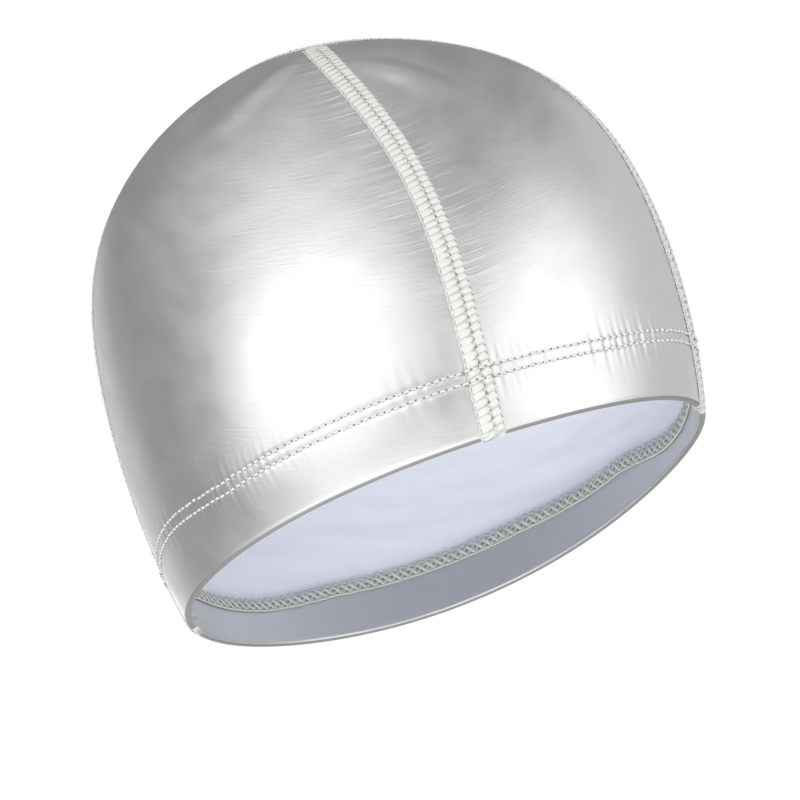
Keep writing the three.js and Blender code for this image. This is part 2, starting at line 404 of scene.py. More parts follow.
    def cloth(self, rim_angle: Array, share: Array, turn: Array, side: Array,
              lift: Array) -> Array:
        """Return points on or near the cloth.

        Args:
            rim_angle: Meridians, as angles on the rim in degrees.
            share: Shares of the way down each meridian.
            turn: Turn round the hem's fold, 0 on the wall and pi on the leaf inside.
            side: Distance across the meridian, in metres.
            lift: Height above the cloth's middle, in metres.

        Returns:
            One point for each place.
        """
        places = (np.asarray(value, float) for value in (rim_angle, share, turn, side, lift))
        rim_angle, share, turn, side, lift = np.broadcast_arrays(*places)
        middle, own_across = self.meridian(rim_angle, share)
        depths = self.crown_height * middle[..., 2] / self.hem_depth
        level = (1.0 - smoothstep(depths, self.level_below, self.slant_above))[..., None]
        level_way = [-middle[..., 1], middle[..., 0], np.zeros_like(share)]
        along_rim = unit(np.stack(level_way, axis=-1))
        across = unit(own_across * (1.0 - level) + along_rim * level)
        width = np.linalg.norm(self.slope(middle, across), axis=-1)
        direction = unit(middle + across * (side / width)[..., None])
        down = unit(np.cross(across, direction))
        down_slope = unit(self.slope(direction, down))
        across_slope = self.slope(direction, np.cross(direction, down))
        outward = unit(np.cross(down_slope, across_slope))
        radius = (self.fabric + self.hem_gap) / 2.0 + lift
        axis_depth = self.fabric + self.hem_gap / 2.0
        proud = radius * np.cos(turn) - axis_depth + self.fold_height(rim_angle, share)
        return (self.surface(direction) + outward * proud[..., None]
                + down_slope * (radius * np.sin(turn))[..., None])


# Meshes

@dataclass
class Patch:
    """Faces of one kind: their vertices, corners, surface coordinates and material number."""

    vertices: Array
    faces: Array
    coordinates: Array
    material: int = 0


def build_piece(name: str, patches: list[Patch], materials: list[bpy.types.Material],
                sharp_angle: float = 60.0) -> bpy.types.Object:
    """Join patches into one smooth mesh object.

    Args:
        name: The piece's name.
        patches: The patches. A patch with no vertices uses those of the patch before it.
        materials: The materials that the patches' numbers point to.
        sharp_angle: Edges that bend by more than this many degrees stay sharp.

    Returns:
        The object, linked to the scene.
    """
    vertices: list[Array] = []
    faces: list[list[int]] = []
    coordinates: list[Array] = []
    numbers: list[int] = []
    start = count = 0
    for patch in patches:
        if len(patch.vertices):
            start = count
            vertices.append(patch.vertices.reshape(-1, 3))
            count += len(vertices[-1])
        faces.extend((patch.faces + start).tolist())
        coordinates.append(patch.coordinates.reshape(-1, 2))
        numbers.extend([patch.material] * len(patch.faces))
    mesh = bpy.data.meshes.new(name)
    mesh.from_pydata(np.concatenate(vertices), [], faces)
    mesh.polygons.foreach_set("material_index", numbers)
    layer = mesh.uv_layers.new(name="Surface")
    layer.data.foreach_set("uv", np.concatenate(coordinates).astype(np.float32).ravel())
    for material in materials:
        mesh.materials.append(material)
    mesh.shade_smooth()
    mesh.set_sharp_from_angle(angle=math.radians(sharp_angle))
    mesh.update()
    piece = bpy.data.objects.new(name, mesh)
    bpy.context.scene.collection.objects.link(piece)
    return piece


def grid_faces(rows: int, columns: int, start: int, is_reversed: bool) -> Array:
    """Return the faces between the points of a grid.

    Args:
        rows: Rows of points.
        columns: Columns of points.
        start: Number of the first point. The others follow row by row.
        is_reversed: Whether the faces turn the other way.

    Returns:
        Four point numbers for each face.
    """
    row, column = np.meshgrid(np.arange(rows - 1), np.arange(columns - 1), indexing="ij")
    corner = (start + row * columns + column).ravel()
    faces = np.stack([corner, corner + columns, corner + columns + 1, corner + 1], axis=-1)
    return faces[:, ::-1] if is_reversed else faces


def closed_sheet(outer: Array, inner: Array, coordinates: Array, inner_material: int,
                 outer_material: int = 0) -> list[Patch]:
    """Make a closed sheet of cloth from the points of its two faces.

    Args:
        outer: Points of the outer face, by row and column.
        inner: Points of the inner face, by row and column.
        coordinates: Surface coordinates of both, by row and column.
        inner_material: Material number of the inner face and the edges.
        outer_material: Material number of the outer face.

    Returns:
        The patches of the two faces and of the edge all round.
    """
    rows, columns = outer.shape[:2]
    half = rows * columns
    flat = np.concatenate([coordinates.reshape(-1, 2)] * 2)
    first = np.arange(half).reshape(rows, columns)
    loop = np.concatenate([first[:, 0], first[-1, 1:], first[::-1, -1][1:], first[0, ::-1][1:]])
    edge = np.stack([loop[:-1], loop[:-1] + half, loop[1:] + half, loop[1:]], axis=-1)
    front = grid_faces(rows, columns, 0, False)
    back = grid_faces(rows, columns, half, True)
    vertices = np.concatenate([outer.reshape(-1, 3), inner.reshape(-1, 3)])
    return [
        Patch(vertices, front, flat[front], outer_material),
        Patch(NO_VERTICES, back, flat[back], inner_material),
        Patch(NO_VERTICES, edge, flat[edge], inner_material),
    ]


def yarn(paths: Array, outward: Array, width: Array | float, height: Array | float,
         material: int = 0, sides: int = 6) -> list[Patch]:
    """Sweep oval yarns along many paths of as many points each.

    Args:
        paths: Points by path and place.
        outward: Directions away from the cloth at those points.
        width: Width across the path along the cloth, one value or one for each point.
        height: Thickness away from the cloth, one value or one for each point.
        material: Material number of the yarns.
        sides: Sides of the yarn's section.

    Returns:
        The patches of the yarns' sides and of their two ends.
    """
    count, places = paths.shape[:2]
    tangent = unit(np.gradient(paths, axis=1))
    across = unit(np.cross(tangent, outward))
    upright = np.cross(across, tangent)
    turn = 2.0 * math.pi * np.arange(sides) / sides
    half_width = (np.broadcast_to(width, (count, places)) / 2.0)[:, :, None, None]
    half_height = (np.broadcast_to(height, (count, places)) / 2.0)[:, :, None, None]
    points = (paths[:, :, None]
              + across[:, :, None] * half_width * np.cos(turn)[:, None]
              + upright[:, :, None] * half_height * np.sin(turn)[:, None])
    index = np.arange(count * places * sides).reshape(count, places, sides)
    ahead = np.roll(index, -1, axis=2)
    faces = np.stack([index[:, :-1], index[:, 1:], ahead[:, 1:], ahead[:, :-1]], axis=-1)
    length = np.linalg.norm(np.diff(paths, axis=1), axis=-1)
    along = np.concatenate([np.zeros((count, 1)), np.cumsum(length, axis=1)], axis=1)
    around = np.arange(sides + 1) / sides
    shape = (count, places - 1, sides)
    start, end = along[:, :-1, None], along[:, 1:, None]
    left, right = around[None, None, :-1], around[None, None, 1:]
    corners = [(start, left), (end, left), (end, right), (start, right)]
    coordinates = np.stack([
        np.stack([np.broadcast_to(u, shape), np.broadcast_to(v, shape)], axis=-1)
        for u, v in corners
    ], axis=-2).reshape(-1, 4, 2)
    caps = np.concatenate([index[:, 0], index[:, -1, ::-1]])
    return [
        Patch(points.reshape(-1, 3), faces.reshape(-1, 4), coordinates, material),
        Patch(NO_VERTICES, caps, np.zeros((len(caps), sides, 2)), material),
    ]


# Finishes

def add_node(tree: bpy.types.NodeTree, kind: str, settings: dict[str, Any] | None = None,
             inputs: dict[str | int, Any] | None = None) -> bpy.types.Node:
    """Add a node with its settings, and set or link its inputs.

    Args:
        tree: The material's or the world's nodes.
        kind: The node's type.
        settings: Values of the node's own properties.
        inputs: Values or sockets for the node's inputs.

    Returns:
        The new node.
    """
    node = tree.nodes.new(kind)
    for name, value in (settings or {}).items():
        setattr(node, name, value)
    for name, value in (inputs or {}).items():
        if isinstance(value, bpy.types.NodeSocket):
            tree.links.new(value, node.inputs[name])
        else:
            node.inputs[name].default_value = value
    return node


def new_material(name: str) -> tuple[bpy.types.Material, bpy.types.NodeTree]:
    """Make a material without nodes.

    Args:
        name: The material's name.

    Returns:
        The material and its node tree.
    """
    material = bpy.data.materials.new(name)
    material.use_nodes = True
    material.node_tree.nodes.clear()
    return material, material.node_tree


@dataclass(frozen=True)
class PolyurethaneCoatedKnit:
    """Silver polyurethane film laminated to stretch knit.

    The aluminium pigment gives broad satin highlights. Stretched over the head, the film shows
    faint wrinkles along the rim, a fine mottled grain, and hairline creases beside the seams.
    """

    name: str = "Silver polyurethane coated knit, laminated"
    colour: int = 0xCDCECE
    metallic: float = 0.86
    roughness: float = 0.39
    roughness_spread: float = 0.1
    patches_per_metre: float = 70.0  # patches of gloss, about 14 mm across
    patch_range: tuple[float, float] = (0.3, 0.7)
    wrinkle_width: float = 0.0010  # metres from wrinkle to wrinkle
    wrinkle_length: float = 0.0065
    wrinkle_height: float = 0.00009
    wrinkle_strength: float = 0.6
    crease_width: float = 0.0013
    crease_length: float = 0.03
    crease_height: float = 0.00016
    crease_strength: float = 0.9
    crease_range: tuple[float, float] = (0.52, 0.8)  # the part of the noise that shows
    crease_reach: tuple[float, float] = (0.004, 0.018)  # distances from the seam
    crease_heights: tuple[float, float] = (0.022, 0.045)  # heights over which they fade in
    grain: float = 0.0006  # knit below the film, drawn coarser than its 0.3 mm so that it shows
    grain_height: float = 0.00003
    grain_strength: float = 0.3

    def build(self) -> bpy.types.Material:
        """Make the material.

        Returns:
            The film's material, which reads the piece's surface coordinates in metres.
        """
        material, tree = new_material(self.name)
        surface = add_node(tree, "ShaderNodeUVMap", {"uv_map": "Surface"}).outputs[0]
        wrinkles = self.streaks(tree, surface, self.wrinkle_length, self.wrinkle_width)
        creases = self.streaks(tree, surface, self.crease_length, self.crease_width)
        grain = add_node(tree, "ShaderNodeTexNoise", None, {
            "Vector": surface, "Scale": 1.0 / self.grain, "Detail": 2.0})
        clouds = add_node(tree, "ShaderNodeTexNoise", None, {
            "Vector": surface, "Scale": self.patches_per_metre, "Detail": 4.0})
        rough = add_node(tree, "ShaderNodeMapRange", None, {
            "Value": clouds.outputs[0],
            "From Min": self.patch_range[0], "From Max": self.patch_range[1],
            "To Min": self.roughness - self.roughness_spread / 2.0,
            "To Max": self.roughness + self.roughness_spread / 2.0})
        place = add_node(tree, "ShaderNodeSeparateXYZ", None, {0: surface})
        distance = add_node(tree, "ShaderNodeMath", {"operation": "ABSOLUTE"}, {
            0: place.outputs[0]})
        near_seam = add_node(tree, "ShaderNodeMapRange", {"interpolation_type": "SMOOTHSTEP"}, {
            "Value": distance.outputs[0],
            "From Min": self.crease_reach[0], "From Max": self.crease_reach[1],
            "To Min": self.crease_strength, "To Max": 0.0})
        solid = add_node(tree, "ShaderNodeTexCoord").outputs["Object"]
        height = add_node(tree, "ShaderNodeSeparateXYZ", None, {0: solid})
        above_hem = add_node(tree, "ShaderNodeMapRange", {"interpolation_type": "SMOOTHSTEP"}, {
            "Value": height.outputs[2],
            "From Min": self.crease_heights[0], "From Max": self.crease_heights[1]})
        strength = add_node(tree, "ShaderNodeMath", {"operation": "MULTIPLY"}, {
            0: near_seam.outputs[0], 1: above_hem.outputs[0]})
        sharp = add_node(tree, "ShaderNodeMapRange", None, {
            "Value": creases,
            "From Min": self.crease_range[0], "From Max": self.crease_range[1]})
        fine = add_node(tree, "ShaderNodeBump", None, {
            "Height": grain.outputs[0], "Strength": self.grain_strength,
            "Distance": self.grain_height})
        mottled = add_node(tree, "ShaderNodeBump", None, {
            "Height": wrinkles, "Strength": self.wrinkle_strength,
            "Distance": self.wrinkle_height, "Normal": fine.outputs[0]})
        bump = add_node(tree, "ShaderNodeBump", None, {
            "Height": sharp.outputs[0], "Strength": strength.outputs[0],
            "Distance": self.crease_height, "Normal": mottled.outputs[0]})
        shader = add_node(tree, "ShaderNodeBsdfPrincipled", None, {
            "Base Color": to_linear(self.colour), "Metallic": self.metallic,
            "Roughness": rough.outputs[0], "Normal": bump.outputs[0]})
        add_node(tree, "ShaderNodeOutputMaterial", None, {"Surface": shader.outputs[0]})
        return material

    @staticmethod
    def streaks(tree: bpy.types.NodeTree, surface: bpy.types.NodeSocket, length: float,
                width: float) -> bpy.types.NodeSocket:
        """Make noise that is drawn out along the rim.

        Args:
            tree: The material's nodes.
            surface: The surface coordinates, in metres.
            length: Length of a streak along the rim, in metres.
            width: Width of a streak, in metres.

        Returns:
            The noise's height.
        """
        stretch = add_node(tree, "ShaderNodeMapping", None, {
            "Vector": surface, "Scale": (1.0 / length, 1.0 / width, 1.0)})
        noise = add_node(tree, "ShaderNodeTexNoise", None, {
            "Vector": stretch.outputs[0], "Scale": 1.0, "Detail": 4.0, "Roughness": 0.6})
        return noise.outputs[0]


@dataclass(frozen=True)
class KnitLining:
    """Polyamide and elastane warp knit, dyed white.

    The fine stitches give a matt, faintly lavender face with rows of small diagonal dots, and
    the stretched cloth lies in soft shallow folds.
    """

    colour: int = 0xF4F6FB
    shadow_colour: int = 0xE6E9F5
    roughness: float = 0.92
    sheen: float = 0.15
    wale: float = 0.0006  # from stitch to stitch, drawn coarser than its 0.4 mm so that it shows
    wale_turn: float = 38.0  # degrees from the rim's way
    wale_randomness: float = 0.2
    dot_range: tuple[float, float] = (0.15, 0.75)  # from a stitch's middle to its edge
    stitch_height: float = 0.00005
    stitch_strength: float = 0.5
    fold_length: float = 0.045
    fold_width: float = 0.012
    fold_height: float = 0.0024
    fold_strength: float = 0.7

    def build(self) -> bpy.types.Material:
        """Make the material.

        Returns:
            The lining's material, which reads the piece's surface coordinates in metres.
        """
        material, tree = new_material("White polyamide elastane, warp knitted")
        surface = add_node(tree, "ShaderNodeUVMap", {"uv_map": "Surface"}).outputs[0]
        turned = add_node(tree, "ShaderNodeMapping", None, {
            "Vector": surface, "Rotation": (0.0, 0.0, math.radians(self.wale_turn)),
            "Scale": (1.0 / self.wale, 1.0 / self.wale, 1.0)})
        stitches = add_node(tree, "ShaderNodeTexVoronoi", {"distance": "MANHATTAN"}, {
            "Vector": turned.outputs[0], "Scale": 1.0, "Randomness": self.wale_randomness})
        dots = add_node(tree, "ShaderNodeMapRange", None, {
            "Value": stitches.outputs[0],
            "From Min": self.dot_range[0], "From Max": self.dot_range[1]})
        colour = add_node(tree, "ShaderNodeMix", {"data_type": "RGBA"}, {
            0: dots.outputs[0], 6: to_linear(self.colour), 7: to_linear(self.shadow_colour)})
        drawn = add_node(tree, "ShaderNodeMapping", None, {
            "Vector": surface, "Scale": (1.0 / self.fold_length, 1.0 / self.fold_width, 1.0)})
        folds = add_node(tree, "ShaderNodeTexNoise", None, {
            "Vector": drawn.outputs[0], "Scale": 1.0, "Detail": 1.0})
        soft = add_node(tree, "ShaderNodeBump", None, {
            "Height": folds.outputs[0], "Strength": self.fold_strength,
            "Distance": self.fold_height})
        bump = add_node(tree, "ShaderNodeBump", {"invert": True}, {
            "Height": dots.outputs[0], "Strength": self.stitch_strength,
            "Distance": self.stitch_height, "Normal": soft.outputs[0]})
        shader = add_node(tree, "ShaderNodeBsdfPrincipled", None, {
            "Base Color": colour.outputs[2], "Roughness": self.roughness,
            "Sheen Weight": self.sheen, "Normal": bump.outputs[0]})
        add_node(tree, "ShaderNodeOutputMaterial", None, {"Surface": shader.outputs[0]})
        return material


@dataclass(frozen=True)
class TexturedYarn:
    """Textured polyester sewing yarn, crimped and lightly twisted.

    Its loose filaments give a soft matt pale grey-green with faint streaks along the yarn, darker
    between the filaments as painted shade.
    """

    name: str
    colour: int
    # darker colour between the filaments: painted shade
    gap_shade_colour: int
    roughness: float = 0.85
    sheen: float = 0.2
    filament: float = 0.0014  # metres along the yarn from streak to streak
    filaments_round: float = 9.0
    filament_height: float = 0.00003
    filament_strength: float = 0.5

    def build(self) -> bpy.types.Material:
        """Make the material.

        Returns:
            The yarn's material. Its coordinates run in metres along the yarn and once round it.
        """
        material, tree = new_material(self.name)
        surface = add_node(tree, "ShaderNodeUVMap", {"uv_map": "Surface"}).outputs[0]
        drawn = add_node(tree, "ShaderNodeMapping", None, {
            "Vector": surface, "Scale": (1.0 / self.filament, self.filaments_round, 1.0)})
        filaments = add_node(tree, "ShaderNodeTexNoise", None, {
            "Vector": drawn.outputs[0], "Scale": 1.0, "Detail": 3.0})
        # painted shade: the colour darkens where the filament bump is low, between the filaments
        colour = add_node(tree, "ShaderNodeMix", {"data_type": "RGBA"}, {
            0: filaments.outputs[0], 6: to_linear(self.gap_shade_colour), 7: to_linear(self.colour)})
        bump = add_node(tree, "ShaderNodeBump", None, {
            "Height": filaments.outputs[0], "Strength": self.filament_strength,
            "Distance": self.filament_height})
        shader = add_node(tree, "ShaderNodeBsdfPrincipled", None, {
            "Base Color": colour.outputs[2], "Roughness": self.roughness,
            "Sheen Weight": self.sheen, "Normal": bump.outputs[0]})
        add_node(tree, "ShaderNodeOutputMaterial", None, {"Surface": shader.outputs[0]})
        return material


@dataclass(frozen=True)
class RolledPaper:
    """Matt white paper, rolled smooth. It gives the eye an even pale floor with a faint tooth."""

    colour: int = 0xF2F2F2
    roughness: float = 0.9
    tooth: float = 0.0025  # drawn coarser than its 0.1 mm so that it shows
    tooth_height: float = 0.0001
    tooth_strength: float = 0.2

    def build(self) -> bpy.types.Material:
        """Make the material.

        Returns:
            The floor's material.
        """
        material, tree = new_material("Matt white paper, rolled")
        tooth = add_node(tree, "ShaderNodeTexNoise", None, {
            "Scale": 1.0 / self.tooth, "Detail": 2.0})
        bump = add_node(tree, "ShaderNodeBump", None, {
            "Height": tooth.outputs[0], "Strength": self.tooth_strength,
            "Distance": self.tooth_height})
        shader = add_node(tree, "ShaderNodeBsdfPrincipled", None, {
            "Base Color": to_linear(self.colour), "Roughness": self.roughness,
            "Normal": bump.outputs[0]})
        add_node(tree, "ShaderNodeOutputMaterial", None, {"Surface": shader.outputs[0]})
        return material


@dataclass(frozen=True)
class Finishes:
    """The materials that the pieces share."""

    coated: bpy.types.Material
    lining: bpy.types.Material
    yarn: bpy.types.Material
    # grey looper yarn, darker than the other yarn as painted shade between the stitches
    shaded_underlay: bpy.types.Material
    # dark discs in the needle holes: painted shade
    needle_hole_shade: bpy.types.Material
    # darker coating round the hem's fold: wear, and painted shade over its highlight
    folded_and_shaded: bpy.types.Material

    @property
    def threads(self) -> list[bpy.types.Material]:
        """The materials in the order of the thread numbers."""
        return [self.yarn, self.shaded_underlay, self.needle_hole_shade]


class Thread(Enum):
    """What a part of a stitch is made of, or the painted shade it stands for, as a material
    number.
    """

    YARN = 0
    # grey as painted shade between and under the stitches
    SHADED_UNDERLAY = 1
    # dark disc in a needle hole: painted shade
    SHADED_HOLE = 2


# Relief of the cloth

@dataclass(frozen=True)
class HemSewing:
    """Two rows of topstitching beside the hem's raw edge, and the puckers they pull."""

    pitch: float = 0.00245
    row_offset: float = 0.00165  # each row's distance from the raw edge
    groove_depth: float = 0.00036
    groove_width: float = 0.00075
    groove_pulls: tuple[float, float] = (0.72, 0.28)  # even share and share that beats
    pucker_height: float = 0.00008
    pucker_reach: float = 0.0055
    pucker_fade: float = 1.5  # how sharply the puckers end at that reach
    pucker_length: float = 0.0034
    pucker_seed: int = 3

    def relief(self, above_edge: Array, along: Array) -> Array:
        """Return the cloth's height near the hem's stitches.

        Args:
            above_edge: Height above the hem's raw edge, in metres.
            along: Distance along the rim, in metres.

        Returns:
            Heights above the smooth cloth.
        """
        total = np.zeros_like(above_edge)
        for row in (-1.0, 1.0):
            offset = above_edge - row * self.row_offset
            beat = np.cos(2.0 * math.pi * along / self.pitch)
            pull = self.groove_pulls[0] + self.groove_pulls[1] * beat
            total = total - self.groove_depth * pull * np.exp(-(offset / self.groove_width) ** 2)
        reach = np.exp(-(np.abs(above_edge) / self.pucker_reach) ** self.pucker_fade)
        wave = ripple(along, self.pucker_length, self.pucker_seed)
        return total + self.pucker_height * reach * wave


@dataclass(frozen=True)
class SeamPuckers:
    """Short wrinkles that the flat seams pull into the cloth, square to the seam."""

    height: float = 0.00012
    reach: float = 0.010
    fade: float = 1.4  # how sharply the wrinkles end at that reach
    wavelength: float = 0.0041

    def relief(self, distance: Array, along: Array, seed: int) -> Array:
        """Return the cloth's height beside one seam.

        Args:
            distance: Distance from the seam, in metres.
            along: Distance from the crossing along the seam, in metres.
            seed: Seed of the wrinkles.

        Returns:
            Heights above the smooth cloth.
        """
        reach = np.exp(-(distance / self.reach) ** self.fade)
        return self.height * reach * ripple(along, self.wavelength, seed)


@dataclass(frozen=True)
class SoftDents:
    """Shallow dents of the stretched cloth, which make the highlights' edges uneven."""

    height: float = 0.00002
    wavelength: float = 0.024
    spread: tuple[float, float] = (0.6, 1.7)  # shortest and longest wave, as shares of it
    waves: int = 9
    seed: int = 5

    def relief(self, along: Array, down: Array) -> Array:
        """Return the cloth's height in its dents.

        Args:
            along: Distances along the rim, in metres.
            down: Distances down from the crossing, in metres.

        Returns:
            Heights above the smooth cloth.
        """
        random = np.random.default_rng(self.seed)
        total = np.zeros_like(along)
        for _ in range(self.waves):
            heading = random.uniform(0.0, math.pi)
            length = self.wavelength * random.uniform(*self.spread)
            way = along * math.cos(heading) + down * math.sin(heading)
            total = total + np.sin(2.0 * math.pi * (way / length + random.random()))
        return self.height * total / math.sqrt(self.waves / 2.0)


# Sub-assemblies

@dataclass(frozen=True)
class Panel:
    """One cut panel of coated knit, from the crossing down and round the rim to its raw edge."""

    node: str
    start: float  # rim angle of its first seam
    end: float  # rim angle of its second seam
    columns: int
    wall_rows: int
    flat: tuple[float, float]
    flat_area: float
    form: CapForm
    sewing: HemSewing = HemSewing()
    puckers: SeamPuckers = SeamPuckers()
    dents: SoftDents = SoftDents()
    wall_ease: float = 1.12  # the rows lie closer near the crossing
    stitch_zone: float = 0.0052  # half height of the dense rows beside the raw edge
    stitch_rows: int = 21
    hem_rows: int = 9
    fold_rows: int = 7
    leaf_rows: int = 9
    piece_gap: float = 0.0003
    pucker_seeds: tuple[int, int] = (11, 12)  # one for each seam
    worn_shaded_share: float = 0.7  # share of the half turn round the hem's fold that is worn, and darkened as painted shade
    hem_reach: float = 0.012  # height over which the seams' wrinkles and the dents fade in
    seam_reach: tuple[float, float] = (0.004, 0.012)  # distances over which the dents fade in
    crossing_reach: tuple[float, float] = (0.001, 0.012)  # the same for all relief
    is_measured_from_end: bool = False  # surface coordinates start at the second seam

    def stations(self, rim_angle: Array) -> tuple[Array, Array, Array]:
        """Place the panel's rows of points.

        Args:
            rim_angle: The columns' angles on the rim, in degrees.

        Returns:
            Shares, turns round the fold and heights above the raw edge, by row and column.
        """
        form = self.form
        edge = form.hem_height(rim_angle)
        start = form.share_from_crossing(rim_angle, form.seam_width * form.hole_share)
        end = form.share_at_height(rim_angle, edge + self.stitch_zone)
        way = (np.linspace(0.0, 1.0, self.wall_rows, endpoint=False) ** self.wall_ease)[:, None]
        shares = [start + (end - start) * way]
        heights = [
            edge + self.stitch_zone * np.linspace(1.0, -1.0, self.stitch_rows)[:, None],
            (edge - self.stitch_zone) * np.linspace(1.0, 0.0, self.hem_rows + 1)[1:, None],
        ]
        shares += [form.share_at_height(rim_angle, height) for height in heights]
        wall = np.concatenate(shares)
        fold = np.ones((self.fold_rows - 1, len(rim_angle)))
        leaf_heights = edge * np.linspace(0.0, 1.0, self.leaf_rows)[:, None]
        leaf = form.share_at_height(rim_angle, leaf_heights)
        leaf[0] = 1.0
        share = np.concatenate([wall, fold, leaf])
        turn = np.concatenate([
            np.zeros_like(wall),
            math.pi * np.arange(1, self.fold_rows)[:, None] / self.fold_rows * fold,
            np.full_like(leaf, math.pi),
        ])
        above_edge = form.crown_height * form.meridian(rim_angle, share)[0][..., 2] - edge
        return share, turn, above_edge

    def relief(self, turn: Array, above_edge: Array, along: Array, down: Array) -> Array:
        """Add up the fine relief of the cloth, which both of its faces follow.

        Args:
            turn: Turns round the hem's fold.
            above_edge: Heights above the hem's raw edge, in metres.
            along: Distances from the first seam, in metres.
            down: Distances from the crossing, in metres.

        Returns:
            Heights above the smooth cloth.
        """
        total = self.sewing.relief(above_edge, along)
        above_hem = smoothstep(above_edge, 0.0, self.hem_reach)
        off_seam = along[:, -1:] - along
        for seed, distance in zip(self.pucker_seeds, (along, off_seam)):
            total = total + above_hem * self.puckers.relief(distance, down, seed)
        clear = smoothstep(np.minimum(along, off_seam), *self.seam_reach)
        total = total + above_hem * clear * self.dents.relief(along, down)
        total = total * smoothstep(down, *self.crossing_reach)
        return total * (turn == 0.0)

    def build(self, finishes: Finishes) -> bpy.types.Object:
        """Build the panel and dress it.

        Args:
            finishes: The materials.

        Returns:
            The panel's piece.
        """
        form = self.form
        across = np.linspace(0.0, 1.0, self.columns)
        rim_angle = self.start + (self.end - self.start) * across
        share, turn, above_edge = self.stations(rim_angle)
        side = self.piece_gap * (0.5 - across)
        smooth = form.cloth(rim_angle, share, turn, side, form.face)
        along = distances(smooth, 1)
        down = distances(smooth, 0) + form.seam_width * form.hole_share
        relief = self.relief(turn, above_edge, along, down)
        outer = form.cloth(rim_angle, share, turn, side, form.face + relief)
        inner = form.cloth(rim_angle, share, turn, side, relief - form.face)
        sideways = along - along[:, -1:] if self.is_measured_from_end else along
        patches = closed_sheet(outer, inner, np.stack([sideways, down], axis=-1), 1)
        patches = self.with_worn_shaded_fold(patches, turn)
        piece = build_piece(self.node + "_cloth", patches,
                            [finishes.coated, finishes.lining, finishes.folded_and_shaded])
        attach(piece, BODY)
        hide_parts(self.node)
        return piece

    def with_worn_shaded_fold(self, patches: list[Patch], turn: Array) -> list[Patch]:
        """Give the outer face's rows round the fold a patch and a darker material of their own:
        worn coating, and painted shade over the fold's highlight.

        Args:
            patches: The panel's patches, the outer face first.
            turn: Turns round the hem's fold, by row and column.

        Returns:
            The patches, with the worn fold, darkened as painted shade, after the outer face.
        """
        front = patches[0]
        row = np.arange(len(front.faces)) // (self.columns - 1)
        middle = (turn[:-1, 0] + turn[1:, 0])[row] / 2.0
        is_shaded_fold = (middle > 0.0) & (middle < self.worn_shaded_share * math.pi)
        return [
            Patch(front.vertices, front.faces[~is_shaded_fold], front.coordinates[~is_shaded_fold]),
            Patch(NO_VERTICES, front.faces[is_shaded_fold], front.coordinates[is_shaded_fold], 2),
            *patches[1:],
        ]


class SeamFace(Enum):
    """The face of the cloth that a seam's thread lies on."""

    OUTSIDE = 1
    INSIDE = -1


@dataclass(frozen=True)
class SeamLeg:
    """One seam from the crossing down to the rim, followed by distance."""

    form: CapForm
    line: SeamLine
    face: SeamFace
    table: tuple[Array, Array, Array]  # distances, shares and turns down the leg

    @classmethod
    def of(cls, form: CapForm, line: SeamLine, face: SeamFace, cover_reach: float) -> "SeamLeg":
        """Measure a leg, which ends at the cover stitch.

        Args:
            form: The cap's form.
            line: The seam's line.
            face: The face of the cloth that the leg lies on.
            cover_reach: Distance from the hem's raw edge at which the leg ends, in metres.

        Returns:
            The leg. Outside it goes round the fold and up the hem leaf.
        """
        wall, fold, leaf = LEG_PLACES
        edge = float(form.hem_height(np.array(line.rim_angle)))
        if face is SeamFace.OUTSIDE:
            end = float(form.share_at_height(line.rim_angle, edge - cover_reach))
            share = np.concatenate([
                np.linspace(0.0, 1.0, wall), np.ones(fold), np.linspace(1.0, end, leaf)])
            turn = np.concatenate([
                np.zeros(wall), np.linspace(0.0, math.pi, fold), np.full(leaf, math.pi)])
        else:
            end = float(form.share_at_height(line.rim_angle, edge + cover_reach))
            share = np.linspace(0.0, end, wall)
            turn = np.zeros(wall)
        points = form.cloth(line.rim_angle, share, turn, 0.0, form.face)
        return cls(form, line, face, (distances(points, 0), share, turn))

    @property
    def length(self) -> float:
        """Length from the crossing to the end."""
        return float(self.table[0][-1])

    @property
    def fold_distance(self) -> float:
        """Distance from the crossing to the middle of the fold at the rim."""
        return float(np.interp(math.pi / 2.0, self.table[2], self.table[0]))

    def points(self, distance: Array, side: Array, lift: Array) -> Array:
        """Find points on or near the leg.

        Args:
            distance: Distances down the leg from the crossing, in metres.
            side: Distances across it, in metres.
            lift: Heights above the cloth's face, in metres.

        Returns:
            One point for each place.
        """
        share = np.interp(distance, self.table[0], self.table[1])
        turn = np.interp(distance, self.table[0], self.table[2])
        height = self.face.value * (self.form.face + lift)
        return self.form.cloth(self.line.rim_angle, share, turn, side, height)


@dataclass(frozen=True)
class SeamTrack:
    """A seam's whole way: one leg, or a rising leg and a falling one through the crossing."""

    falling: SeamLeg
    rising: SeamLeg | None = None

    def points(self, distance: Array, side: Array, lift: Array) -> Array:
        """Find points on or near the seam.

        Args:
            distance: Distances from the crossing, in metres, below zero on the rising leg.
            side: Distances across the seam, in metres.
            lift: Heights above the cloth's face, in metres.

        Returns:
            One point for each place.
        """
        distance, side, lift = np.broadcast_arrays(distance, side, lift)
        down = self.falling.points(np.maximum(distance, 0.0), side, lift)
        if self.rising is None:
            return down
        up = self.rising.points(np.maximum(-distance, 0.0), -side, lift)
        return np.where((distance >= 0.0)[..., None], down, up)

    def outward(self, distance: Array, side: Array, lift: Array) -> Array:
        """Return the directions away from the cloth at those points."""
        raised = self.points(distance, side, lift + LIFT_STEP)
        return unit(raised - self.points(distance, side, lift))


@dataclass(frozen=True)
class StitchPath:
    """One yarn of a stitch: where it runs, how wide and thick it is. Lengths in millimetres."""

    along: tuple[float, ...]
    side: tuple[float, ...]
    lift: tuple[float, ...]
    width: tuple[float, ...]
    thickness: float
    thread: Thread = Thread.YARN


